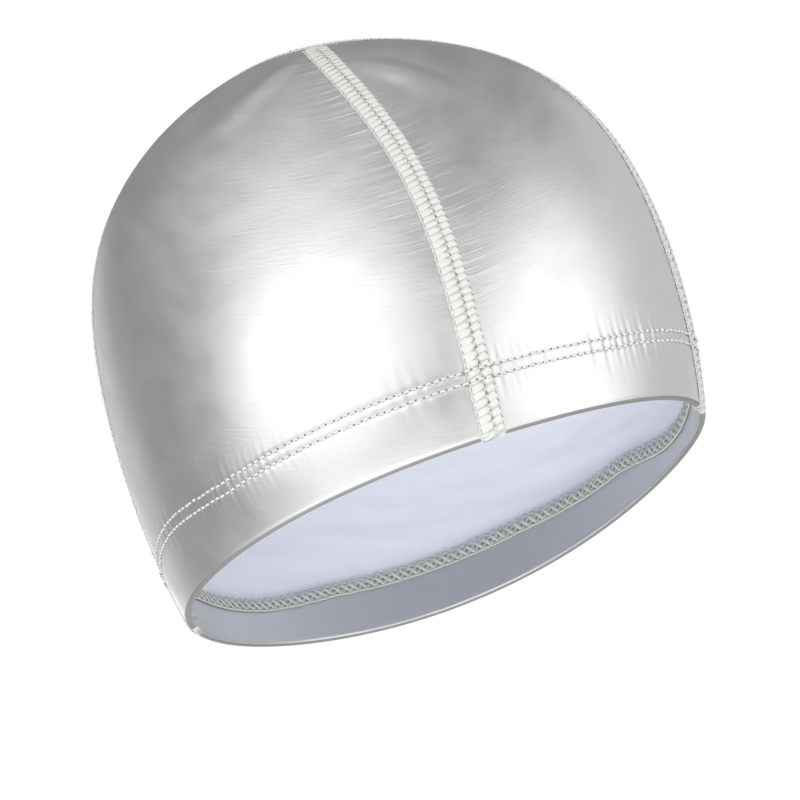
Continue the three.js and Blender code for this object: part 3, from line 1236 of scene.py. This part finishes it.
@dataclass(frozen=True)
class FlatSeam:
    """Flatlock seam: a base of looper yarn, grey as painted shade between the stitches, with
    rungs, needle loops and edge cords on it.
    """

    name: str
    node: str
    track: SeamTrack
    start: float  # distances from the crossing
    end: float
    seed: int
    pitch: float = 0.00245
    width: float = 0.0082
    base_lift: tuple[float, float] = (0.00004, 0.00030)
    base_half: float = 0.46  # half of the base's width, as a share of the seam's
    base_places: tuple[float, int] = (0.0012, 9)  # metres along, and places across
    base_texture: float = 0.002  # metres across the base for one turn of the yarn's streaks
    fold_reach: float = 0.005  # distance from the rim's fold over which the stitches flatten
    fold_core: float = 0.3  # share of that reach that is flattest
    fold_flatness: float = 0.6
    uneven_along: float = 0.11  # millimetres
    uneven_side: float = 0.04  # millimetres
    uneven_size: float = 0.08
    cord_beats: tuple[float, float] = (0.07, 0.08)  # millimetres sideways and up at each stitch
    cord_places: int = 4  # for each stitch
    rungs: tuple[StitchPath, ...] = (
        StitchPath((0.35, 0.12, -0.2, -0.42, -0.36, 0.0), (-3.5, -2.6, -1.4, -0.45, 0.12, 0.45),
                   (0.3, 0.42, 0.47, 0.48, 0.43, 0.32), (1.95, 2.25, 2.15, 1.8, 1.3, 0.7), 0.44),
        StitchPath((1.45, 1.2, 0.85, 0.6), (0.95, 1.7, 2.7, 3.6),
                   (0.32, 0.42, 0.42, 0.28), (1.3, 1.85, 2.0, 1.65), 0.42),
        StitchPath((0.6, 0.95, 1.3), (0.5, 0.62, 0.74),
                   (0.42, 0.74, 0.42), (0.4, 0.62, 0.4), 0.42),
        # the next three paths: dark discs in the needle holes, painted shade
        StitchPath((-0.55, -0.15, 0.35), (0.5, 0.62, 0.72),
                   (0.44, 0.5, 0.44), (0.45, 0.8, 0.45), 0.14, Thread.SHADED_HOLE),
        StitchPath((-0.5, 0.0, 0.5), (-3.6, -3.58, -3.6),
                   (0.4, 0.44, 0.4), (0.2, 0.34, 0.2), 0.12, Thread.SHADED_HOLE),
        StitchPath((-0.2, 0.2, 0.6), (3.72, 3.76, 3.72),
                   (0.34, 0.4, 0.34), (0.26, 0.42, 0.26), 0.12, Thread.SHADED_HOLE),
        StitchPath((-0.9, -0.3, 0.3, 0.9), (-3.9, -4.08, -4.08, -3.9),
                   (0.12, 0.26, 0.26, 0.12), (0.25, 0.36, 0.36, 0.25), 0.3),
    )
    cords: tuple[StitchPath, ...] = (
        StitchPath((), (-3.86,), (0.3,), (0.34,), 0.34),
        StitchPath((), (3.92,), (0.2,), (0.26,), 0.26),
    )

    def base(self) -> list[Patch]:
        """Build the flat base under the stitches, grey as painted shade in the gaps between them.

        Returns:
            The base's patches.
        """
        step, columns = self.base_places
        rows = int((self.end - self.start) / step)
        distance = np.linspace(self.start, self.end, rows)[:, None]
        side = self.width * np.linspace(-self.base_half, self.base_half, columns)[None, :]
        low, high = self.base_lift
        outer = self.track.points(distance, side, high)
        inner = self.track.points(distance, side, low)
        round_base = side / self.base_texture
        coordinates = np.stack(np.broadcast_arrays(distance, round_base), axis=-1)
        return closed_sheet(outer, inner, coordinates, Thread.SHADED_UNDERLAY.value,
                            Thread.SHADED_UNDERLAY.value)

    def flattened(self, along: Array, lift: Array) -> Array:
        """Lower the stitches round the fold at the rim.

        Args:
            along: Distances from the crossing, in metres.
            lift: Heights or thicknesses, in metres.

        Returns:
            The heights or thicknesses there.
        """
        total = np.ones(np.broadcast(along, lift).shape)
        for leg, distance in ((self.track.falling, along), (self.track.rising, -along)):
            if leg is not None and leg.face is SeamFace.OUTSIDE:
                off_fold = np.abs(distance - leg.fold_distance) / self.fold_reach
                near_fold = 1.0 - smoothstep(off_fold, self.fold_core, 1.0)
                total = total - self.fold_flatness * near_fold
        return lift * total

    def stitches(self) -> list[Patch]:
        """Build the yarns of all stitches, each a little uneven, and the edge cords.

        Returns:
            The yarns' patches.
        """
        random = np.random.default_rng(self.seed)
        count = int((self.end - self.start) / self.pitch)
        middle = self.start + self.pitch * (np.arange(count) + 0.5)
        patches: list[Patch] = []
        for rung in self.rungs:
            shift = random.normal(0.0, self.uneven_along, (count, 1))
            swell = random.normal(1.0, self.uneven_size, (count, 1))
            drift = random.normal(0.0, self.uneven_side, (count, 1))
            along = middle[:, None] + MILLIMETRE * (np.array(rung.along) + shift)
            side = MILLIMETRE * (np.array(rung.side) + drift)
            lift = self.flattened(along, MILLIMETRE * np.array(rung.lift) * swell)
            paths = self.track.points(along, side, lift)
            outward = self.track.outward(along, side, lift)
            width = MILLIMETRE * np.array(rung.width) * swell
            thickness = self.flattened(along, MILLIMETRE * rung.thickness)
            patches += yarn(paths, outward, width, thickness, rung.thread.value)
        for cord in self.cords:
            along = np.linspace(self.start, self.end, count * self.cord_places)[None, :]
            beat = np.cos(2.0 * math.pi * along / self.pitch)
            side = MILLIMETRE * (cord.side[0] + self.cord_beats[0] * beat)
            lift = self.flattened(along, MILLIMETRE * (cord.lift[0] + self.cord_beats[1] * beat))
            paths = self.track.points(along, side, lift)
            outward = self.track.outward(along, side, lift)
            patches += yarn(paths, outward, MILLIMETRE * cord.width[0],
                            MILLIMETRE * cord.thickness)
        return patches

    def build(self, finishes: Finishes) -> bpy.types.Object:
        """Build the seam and dress it.

        Args:
            finishes: The materials.

        Returns:
            The seam's piece.
        """
        piece = build_piece(self.name, self.base() + self.stitches(), finishes.threads,
                            YARN_SHARP_ANGLE)
        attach(piece, BODY)
        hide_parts(self.node)
        return piece


@dataclass(frozen=True)
class RimCircle:
    """A line round the cap at a height from the hem's raw edge, followed by distance."""

    form: CapForm
    offset: float  # height above the raw edge
    turn: float  # 0 on the wall, pi on the leaf
    samples: int = 1441
    half_turn: float = 0.5  # degrees to each side over which lengths are measured

    def angles(self, pitch: float) -> tuple[Array, float]:
        """Space stitches evenly along the line.

        Args:
            pitch: The wanted distance from stitch to stitch, in metres.

        Returns:
            The stitches' rim angles and the real distance between them.
        """
        rim_angle = np.linspace(-180.0, 180.0, self.samples)
        points = self.points(rim_angle, 0.0, 0.0)
        distance = distances(points, 0)
        count = round(distance[-1] / pitch)
        even = distance[-1] * np.arange(count) / count
        return np.interp(even, distance, rim_angle), distance[-1] / count

    def points(self, rim_angle: Array, rise: Array, lift: Array) -> Array:
        """Find points on or near the line.

        Args:
            rim_angle: Angles on the rim, in degrees.
            rise: Heights above the line along the cloth, in metres.
            lift: Heights above the cloth's face, in metres.

        Returns:
            One point for each place.
        """
        rim_angle, rise, lift = np.broadcast_arrays(rim_angle, rise, lift)
        height = self.form.hem_height(rim_angle) + self.offset + rise
        share = self.form.share_at_height(rim_angle, height)
        return self.form.cloth(rim_angle, share, self.turn, 0.0, self.form.face + lift)

    def degrees_of(self, rim_angle: Array, length: float) -> Array:
        """Turn a length along the line into degrees.

        Args:
            rim_angle: Angles on the rim where the length lies, in degrees.
            length: The length, in metres.

        Returns:
            The turn that covers the length at each angle, in degrees.
        """
        ahead = self.points(rim_angle + self.half_turn, 0.0, 0.0)
        behind = self.points(rim_angle - self.half_turn, 0.0, 0.0)
        return 2.0 * self.half_turn * length / np.linalg.norm(ahead - behind, axis=-1)


@dataclass(frozen=True)
class HemTopstitch:
    """The two rows of straight stitches that hold the hem, with dark discs as painted shade in
    their needle holes.
    """

    form: CapForm
    sewing: HemSewing = HemSewing()
    thread: float = 0.00072
    thickness: float = 0.00042
    length_share: float = 0.74
    arch: tuple[float, ...] = (-0.4, -0.02, 0.1, 0.1, -0.02, -0.4)  # millimetres of lift
    # dark disc in each needle hole: painted shade
    hole_lift: float = -0.00012
    hole_width: float = 0.00075
    hole_length: float = 0.00085
    hole_thickness: float = 0.00012
    uneven_along: float = 0.06  # as a share of the pitch
    uneven_rise: float = 0.00009
    seam_rise: float = 0.00086  # lift where a row crosses a flat seam
    seam_turns: tuple[float, float] = (2.55, 3.74)  # degrees from the seam where it ends
    seed: int = 21

    def build(self, finishes: Finishes) -> bpy.types.Object:
        """Build both rows and their needle holes, and dress them.

        Args:
            finishes: The materials.

        Returns:
            The piece.
        """
        random = np.random.default_rng(self.seed)
        patches: list[Patch] = []
        places = np.linspace(-0.5, 0.5, len(self.arch))
        for row in (-1.0, 1.0):
            circle = RimCircle(self.form, row * self.sewing.row_offset, 0.0)
            middle, pitch = circle.angles(self.sewing.pitch)
            drift = circle.degrees_of(middle, self.uneven_along * pitch)
            middle = middle + drift * random.normal(size=len(middle))
            rise = self.uneven_rise * random.normal(size=(len(middle), 1))
            turn = circle.degrees_of(middle, pitch * self.length_share)
            patches += self.row(circle, middle[:, None] + turn[:, None] * places, rise,
                                MILLIMETRE * np.array(self.arch),
                                (self.thread, self.thickness), Thread.YARN)
            # dark discs in the needle holes between the stitches: painted shade
            turn = circle.degrees_of(middle, self.hole_length)
            behind = middle + circle.degrees_of(middle, pitch / 2.0)
            hole = behind[:, None] + turn[:, None] * np.array([-0.5, 0.0, 0.5])
            width = self.hole_width * np.array([0.5, 1.0, 0.5])
            patches += self.row(circle, hole, rise, np.full(3, self.hole_lift),
                                (width, self.hole_thickness), Thread.SHADED_HOLE)
        piece = build_piece("hem_topstitch", patches, finishes.threads, YARN_SHARP_ANGLE)
        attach(piece, BODY)
        return piece

    def row(self, circle: RimCircle, rim_angle: Array, rise: Array, lift: Array,
            size: tuple[Array | float, float], thread: Thread) -> list[Patch]:
        """Build one row of stitches or of holes.

        Args:
            circle: The row's line.
            rim_angle: Angles on the rim, by stitch and place.
            rise: Each stitch's height above the line, in metres.
            lift: Heights above the cloth's face at the places, in metres.
            size: Width and thickness, in metres.
            thread: What the row is made of.

        Returns:
            The row's patches.
        """
        lift = lift + self.over_seams(rim_angle)
        paths = circle.points(rim_angle, rise, lift)
        outward = unit(circle.points(rim_angle, rise, lift + LIFT_STEP) - paths)
        return yarn(paths, outward, size[0], size[1], thread.value)

    def over_seams(self, rim_angle: Array) -> Array:
        """Lift a row where it crosses the flat seams.

        Args:
            rim_angle: Angles on the rim, in degrees.

        Returns:
            The extra lift at each place, in metres.
        """
        total = np.zeros_like(rim_angle)
        for seam in (self.form.front, self.form.back, self.form.side):
            turn = np.abs(turn_from(rim_angle, seam.rim_angle))
            total = total + self.seam_rise * (1.0 - smoothstep(turn, *self.seam_turns))
        return total


@dataclass(frozen=True)
class HemCoverStitch:
    """Looper yarn over the hem's raw edge inside: a braid between two needle lines."""

    form: CapForm
    pitch: float = 0.0031
    seed: int = 31
    base_rises: tuple[float, float] = (-0.0024, 0.0015)
    base_lifts: tuple[float, float] = (0.00045, 0.0001)
    base_places: tuple[int, int] = (5, 361)  # across and round
    uneven_along: float = 0.16  # millimetres
    uneven_side: float = 0.06  # millimetres
    braid: tuple[StitchPath, ...] = (
        StitchPath((-1.5, -0.9, 0.0, 0.9, 1.5), (-1.75, -1.2, -0.2, 0.9, 1.35),
                   (0.35, 0.6, 0.72, 0.62, 0.4), (0.7, 1.0, 1.1, 1.0, 0.7), 0.5),
        # the lower diagonal, grey as painted shade
        StitchPath((-1.5, -0.9, 0.0, 0.9, 1.5), (1.35, 0.9, -0.1, -1.2, -1.75),
                   (0.35, 0.52, 0.52, 0.5, 0.35), (0.6, 0.85, 0.9, 0.85, 0.6), 0.45,
                   Thread.SHADED_UNDERLAY),
        StitchPath((-1.65, -0.8, 0.0, 0.8, 1.65), (-2.3, -2.36, -2.3, -2.36, -2.3),
                   (0.4, 0.55, 0.62, 0.55, 0.4), (0.5, 0.7, 0.75, 0.7, 0.5), 0.5),
        # the upper loops, grey as painted shade
        StitchPath((-1.3, -0.8, 0.0, 0.8, 1.3), (1.3, 1.95, 2.45, 2.0, 1.3),
                   (0.35, 0.5, 0.55, 0.5, 0.35), (0.6, 0.7, 0.8, 0.7, 0.6), 0.42,
                   Thread.SHADED_UNDERLAY),
        # dark discs in the needle holes: painted shade
        StitchPath((-0.55, 0.0, 0.55), (0.75, 0.8, 0.75), (0.5, 0.54, 0.5), (0.4, 0.8, 0.4), 0.12,
                   Thread.SHADED_HOLE),
        StitchPath((1.0, 1.55, 2.1), (-0.2, -0.2, -0.2), (0.5, 0.54, 0.5), (0.4, 0.85, 0.4), 0.12,
                   Thread.SHADED_HOLE),
        StitchPath((-0.5, 0.0, 0.5), (-1.35, -1.3, -1.35), (0.5, 0.54, 0.5), (0.4, 0.8, 0.4), 0.12,
                   Thread.SHADED_HOLE),
    )

    def build(self, finishes: Finishes) -> bpy.types.Object:
        """Build the braid on its base and dress it.

        Args:
            finishes: The materials.

        Returns:
            The cover stitch's piece.
        """
        random = np.random.default_rng(self.seed)
        circle = RimCircle(self.form, 0.0, math.pi)
        middle, pitch = circle.angles(self.pitch)
        patches = self.base(circle)
        for path in self.braid:
            per_millimetre = circle.degrees_of(middle, MILLIMETRE)[:, None]
            shift = random.normal(0.0, self.uneven_along, (len(middle), 1))
            drift = random.normal(0.0, self.uneven_side, (len(middle), 1))
            rim_angle = middle[:, None] + per_millimetre * (np.array(path.along) + shift)
            rise = MILLIMETRE * (np.array(path.side) + drift)
            lift = MILLIMETRE * np.array(path.lift)
            paths = circle.points(rim_angle, rise, lift)
            outward = unit(circle.points(rim_angle, rise, lift + LIFT_STEP) - paths)
            patches += yarn(paths, outward, MILLIMETRE * np.array(path.width),
                            MILLIMETRE * path.thickness, path.thread.value)
        LOG.info("cover stitch: %d stitches, %.2f mm apart", len(middle), pitch / MILLIMETRE)
        piece = build_piece("hem_cover_stitch_braid", patches, finishes.threads, YARN_SHARP_ANGLE)
        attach(piece, BODY)
        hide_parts("hem_cover_stitch")
        return piece

    def base(self, circle: RimCircle) -> list[Patch]:
        """Build the flat base under the braid, grey as painted shade under it.

        Args:
            circle: The line of the hem's raw edge.

        Returns:
            The base's patch, a closed ring.
        """
        across, around = self.base_places
        rim_angle = np.linspace(-180.0, 180.0, around)[None, :-1]
        rise = np.linspace(self.base_rises[1], self.base_rises[0], across)[:, None]
        faces = [circle.points(rim_angle, rise, lift) for lift in self.base_lifts]
        rows, columns = faces[0].shape[:2]
        row = np.concatenate([np.arange(rows), np.arange(2 * rows - 1, rows - 1, -1)])
        first, second = row, np.roll(row, -1)
        column = np.arange(columns)
        ahead = np.roll(column, -1)
        quads = np.stack([
            first[:, None] * columns + column, second[:, None] * columns + column,
            second[:, None] * columns + ahead, first[:, None] * columns + ahead,
        ], axis=-1).reshape(-1, 4)
        vertices = np.concatenate([face.reshape(-1, 3) for face in faces])
        flat = np.zeros((len(quads), 4, 2))
        return [Patch(vertices, quads, flat, Thread.SHADED_UNDERLAY.value)]


# Studio

def towards(azimuth: float, elevation: float) -> Vector:
    """Return the direction from the cap at an azimuth and an elevation in radians."""
    level = math.cos(elevation)
    return Vector((math.sin(azimuth) * level, -math.cos(azimuth) * level, math.sin(elevation)))


@dataclass(frozen=True)
class Softbox:
    """A soft lamp by its direction from the cap, in degrees. Azimuth 0 is the near side."""

    name: str
    azimuth: float
    elevation: float
    distance: float
    width: float
    height: float
    radiance: float
    aim: tuple[float, float, float] = (0.0, 0.0, 0.08)

    @property
    def area(self) -> float:
        """Area of the lamp's oval face."""
        return math.pi / 4.0 * self.width * self.height

    def build(self) -> None:
        """Add the lamp, turned to the cap."""
        back = towards(math.radians(self.azimuth), math.radians(self.elevation))
        lamp = bpy.data.lights.new(self.name, "AREA")
        lamp.shape = "ELLIPSE"
        lamp.size = self.width
        lamp.size_y = self.height
        lamp.energy = self.radiance * self.area * math.pi
        holder = bpy.data.objects.new(self.name, lamp)
        holder.location = Vector(self.aim) + back * self.distance
        holder.rotation_mode = "QUATERNION"
        holder.rotation_quaternion = (-back).to_track_quat("-Z", "Y")
        bpy.context.scene.collection.objects.link(holder)


@dataclass(frozen=True)
class PhotoCamera:
    """The camera at the photo's viewing angle. Angles in degrees, lengths in metres."""

    azimuth: float = 11.699
    elevation: float = -21.185
    roll: float = -20.948
    distance: float = 1.0
    aim: tuple[float, float, float] = (0.0, 0.0, 0.066)
    aim_right: float = 0.006955
    aim_up: float = -0.018273
    focal_pixels: float = 3046.62
    nearest: float = 0.05  # where the camera starts to see

    def build(self) -> None:
        """Add the camera and make it the scene's."""
        azimuth, roll = math.radians(self.azimuth), math.radians(self.roll)
        back = towards(azimuth, math.radians(self.elevation))
        level = Vector((math.cos(azimuth), math.sin(azimuth), 0.0))
        upright = back.cross(level)
        right = math.cos(roll) * level + math.sin(roll) * upright
        up = math.cos(roll) * upright - math.sin(roll) * level
        data = bpy.data.cameras.new("photo_camera")
        data.sensor_width = SENSOR_WIDTH
        data.lens = self.focal_pixels / IMAGE_SIDE * SENSOR_WIDTH
        data.clip_start = self.nearest
        camera = bpy.data.objects.new("photo_camera", data)
        place = Vector(self.aim) + right * self.aim_right + up * self.aim_up + back * self.distance
        turn = Matrix((right, up, back)).transposed()
        camera.matrix_world = Matrix.Translation(place) @ turn.to_4x4()
        bpy.context.scene.collection.objects.link(camera)
        bpy.context.scene.camera = camera


@dataclass(frozen=True)
class Studio:
    """Pale floor far below, a white backdrop and soft lamps."""

    floor_depth: float = 0.75
    floor_side: float = 8.0
    backdrop: float = 1.0
    room_light: float = 0.26
    lamps: tuple[Softbox, ...] = (
        Softbox("key_softbox", -10.0, 21.0, 1.5, 2.4, 2.3, 1.6),
        Softbox("key_centre", -8.0, 36.0, 1.5, 1.4, 1.0, 0.65),
        Softbox("right_softbox", 67.0, 0.0, 1.5, 1.2, 2.0, 1.95),
        Softbox("right_back_glow", 128.0, 12.0, 1.6, 2.0, 2.2, 0.5),
        Softbox("top_softbox", 70.0, 80.0, 1.5, 0.8, 0.8, 0.3),
        Softbox("low_fill", -26.0, -57.0, 0.75, 1.8, 0.9, 1.4),
        Softbox("left_back_glow", -132.0, 10.0, 1.8, 1.3, 2.0, 0.65),
        Softbox("backdrop_glow", 190.0, 0.0, 2.0, 3.2, 1.8, 1.05),
    )
    camera: PhotoCamera = PhotoCamera()

    def build(self) -> None:
        """Add the floor, the world, the lamps and the camera."""
        self.camera.build()
        for lamp in self.lamps:
            lamp.build()
        self.build_floor()
        self.build_world()
        bpy.context.scene.view_settings.view_transform = "Standard"

    def build_floor(self) -> None:
        """Add the floor."""
        half = self.floor_side / 2.0
        corners = [(-half, -half), (half, -half), (half, half), (-half, half)]
        mesh = bpy.data.meshes.new("floor")
        mesh.from_pydata([(x, y, -self.floor_depth) for x, y in corners], [], [(0, 1, 2, 3)])
        floor = bpy.data.objects.new("floor", mesh)
        mesh.materials.append(RolledPaper().build())
        bpy.context.scene.collection.objects.link(floor)

    def build_world(self) -> None:
        """Make the backdrop white to the camera and the room grey to the cap."""
        world = bpy.data.worlds.new("studio")
        bpy.context.scene.world = world
        world.use_nodes = True
        tree = world.node_tree
        tree.nodes.clear()
        seen = add_node(tree, "ShaderNodeBackground", None, {
            "Color": (1.0, 1.0, 1.0, 1.0), "Strength": self.backdrop})
        room = add_node(tree, "ShaderNodeBackground", None, {
            "Color": (1.0, 1.0, 1.0, 1.0), "Strength": self.room_light})
        path = add_node(tree, "ShaderNodeLightPath")
        mixed = add_node(tree, "ShaderNodeMixShader", None, {
            0: path.outputs["Is Camera Ray"], 1: room.outputs[0], 2: seen.outputs[0]})
        add_node(tree, "ShaderNodeOutputWorld", None, {"Surface": mixed.outputs[0]})


def report(piece: bpy.types.Object) -> None:
    """Log a piece's name and its number of triangles."""
    piece.data.calc_loop_triangles()
    LOG.info("%s: %d triangles", piece.name, len(piece.data.loop_triangles))


def main() -> None:
    """Build the cap piece by piece, then the studio."""
    logging.basicConfig(level=logging.INFO, format="%(name)s: %(message)s")
    studio = Studio()
    studio.build()
    form = CapForm()
    # darker coating for the hem's fold: worn and creased, and painted shade that hides the fold's
    # highlight
    creased_and_shaded = PolyurethaneCoatedKnit(
        "Silver polyurethane coated knit, creased", 0x8E8B8A, metallic=0.5, roughness=0.55)
    finishes = Finishes(
        PolyurethaneCoatedKnit().build(),
        KnitLining().build(),
        TexturedYarn("Pale textured polyester yarn, twisted", 0xD5D7D2, 0xC3C6C0).build(),
        # looper yarn, darker grey as painted shade between the stitches
        TexturedYarn("Grey textured polyester looper yarn, crimped", 0xC0C3BE, 0xADB1AC).build(),
        # dark discs in the needle holes: painted shade
        TexturedYarn("Needle holes, dark as painted shade", 0x868A88, 0x747876).build(),
        creased_and_shaded.build(),
    )
    panels = (
        Panel("left_panel", form.front.rim_angle, form.back.rim_angle, columns=340,
              wall_rows=84, flat=(0.245, 0.255), flat_area=0.048, form=form),
        Panel("right_front_panel", form.side.rim_angle, form.front.rim_angle, columns=200,
              wall_rows=150, flat=(0.093, 0.205), flat_area=0.0122, form=form),
        Panel("right_back_panel", form.back.rim_angle - 360.0, form.side.rim_angle, columns=240,
              wall_rows=150, flat=(0.165, 0.235), flat_area=0.0237, form=form,
              is_measured_from_end=True),
    )
    for panel in panels:
        report(panel.build(finishes))
    lines = {"front": form.front, "back": form.back, "side": form.side}
    outer_reach = 0.0031  # metres from the hem's raw edge to where the seams' ends stop
    inner_reach = 0.0006
    outer = {name: SeamLeg.of(form, line, SeamFace.OUTSIDE, outer_reach)
             for name, line in lines.items()}
    inner = {name: SeamLeg.of(form, line, SeamFace.INSIDE, inner_reach)
             for name, line in lines.items()}
    side_start = 0.0065  # metres from the crossing, beside the crown seam
    seams = (
        FlatSeam("crown_seam_stitches", "crown_seam", SeamTrack(outer["front"], outer["back"]),
                 -outer["back"].length, outer["front"].length, 41),
        FlatSeam("side_seam_stitches", "side_seam", SeamTrack(outer["side"]),
                 side_start, outer["side"].length, 42),
        FlatSeam("crown_seam_inside_stitches", "crown_seam_inside",
                 SeamTrack(inner["front"], inner["back"]),
                 -inner["back"].length, inner["front"].length, 43),
        FlatSeam("side_seam_inside_stitches", "side_seam_inside", SeamTrack(inner["side"]),
                 side_start, inner["side"].length, 44),
    )
    for seam in seams:
        report(seam.build(finishes))
    report(HemTopstitch(form).build(finishes))
    report(HemCoverStitch(form).build(finishes))


if __name__ == "__main__":
    main()
